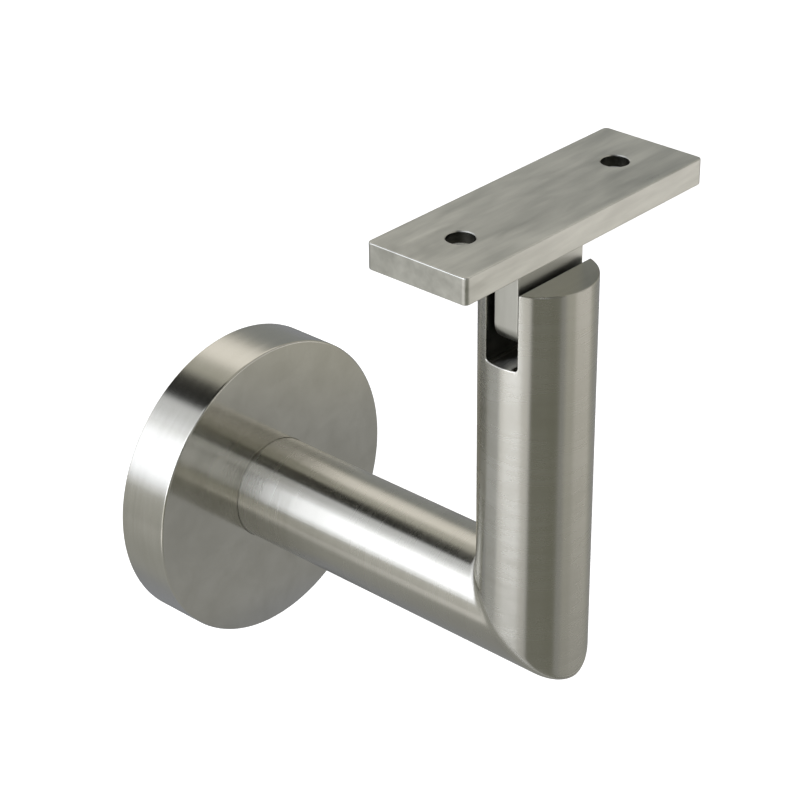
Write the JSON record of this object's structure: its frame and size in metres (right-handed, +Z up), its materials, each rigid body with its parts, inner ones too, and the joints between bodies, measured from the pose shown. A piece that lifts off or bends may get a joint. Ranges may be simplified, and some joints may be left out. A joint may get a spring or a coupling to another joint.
{
  "type": "handrail bracket",
  "caption": "Wall bracket for a handrail: screwed base plate under a round slip-on cap, round arm, mitred upright post and a flat saddle that tips on a pin in the slotted top of the post.",
  "frame": {"origin": "middle of the base plate's back face, on the wall, in the centre of the three wall screw holes", "axes": "+Y into the wall, along the arm; +Z up, along the post; +X along the handrail"},
  "size_m": [0.077, 0.108, 0.1385],
  "materials": {
    "stem_steel": "satin stainless steel, fine grinding lines along the bar",
    "cap_steel": "satin stainless steel, turned",
    "plate_steel": "plain machined stainless plate",
    "ring_rubber": "black rubber ring",
    "saddle_steel": "linished stainless flat bar with faint clouds",
    "pin_steel": "ground stainless pin",
    "screw_steel": "plain stainless set screw"
  },
  "bodies": {
    "bracket": {"base_plate": "plate_steel", "arm": "stem_steel", "post": "stem_steel", "pivot_pin": "pin_steel", "lock_screw": "screw_steel"},
    "saddle": {"saddle_tongue": "saddle_steel", "saddle_plate": "saddle_steel"},
    "cover": {"cover_cap": "cap_steel", "cover_ring": "ring_rubber"}
  },
  "joints": [
    {"name": "saddle_tilt", "type": "hinge", "parent": "bracket", "child": "saddle", "pos_m": [0, -0.095, 0.079], "axis": [0, 1, 0], "range_deg": [-90, 90]},
    {"name": "cover_slide", "type": "slide", "parent": "bracket", "child": "cover", "axis": [0, -1, 0], "range_m": [0, 0.068]}
  ]
}
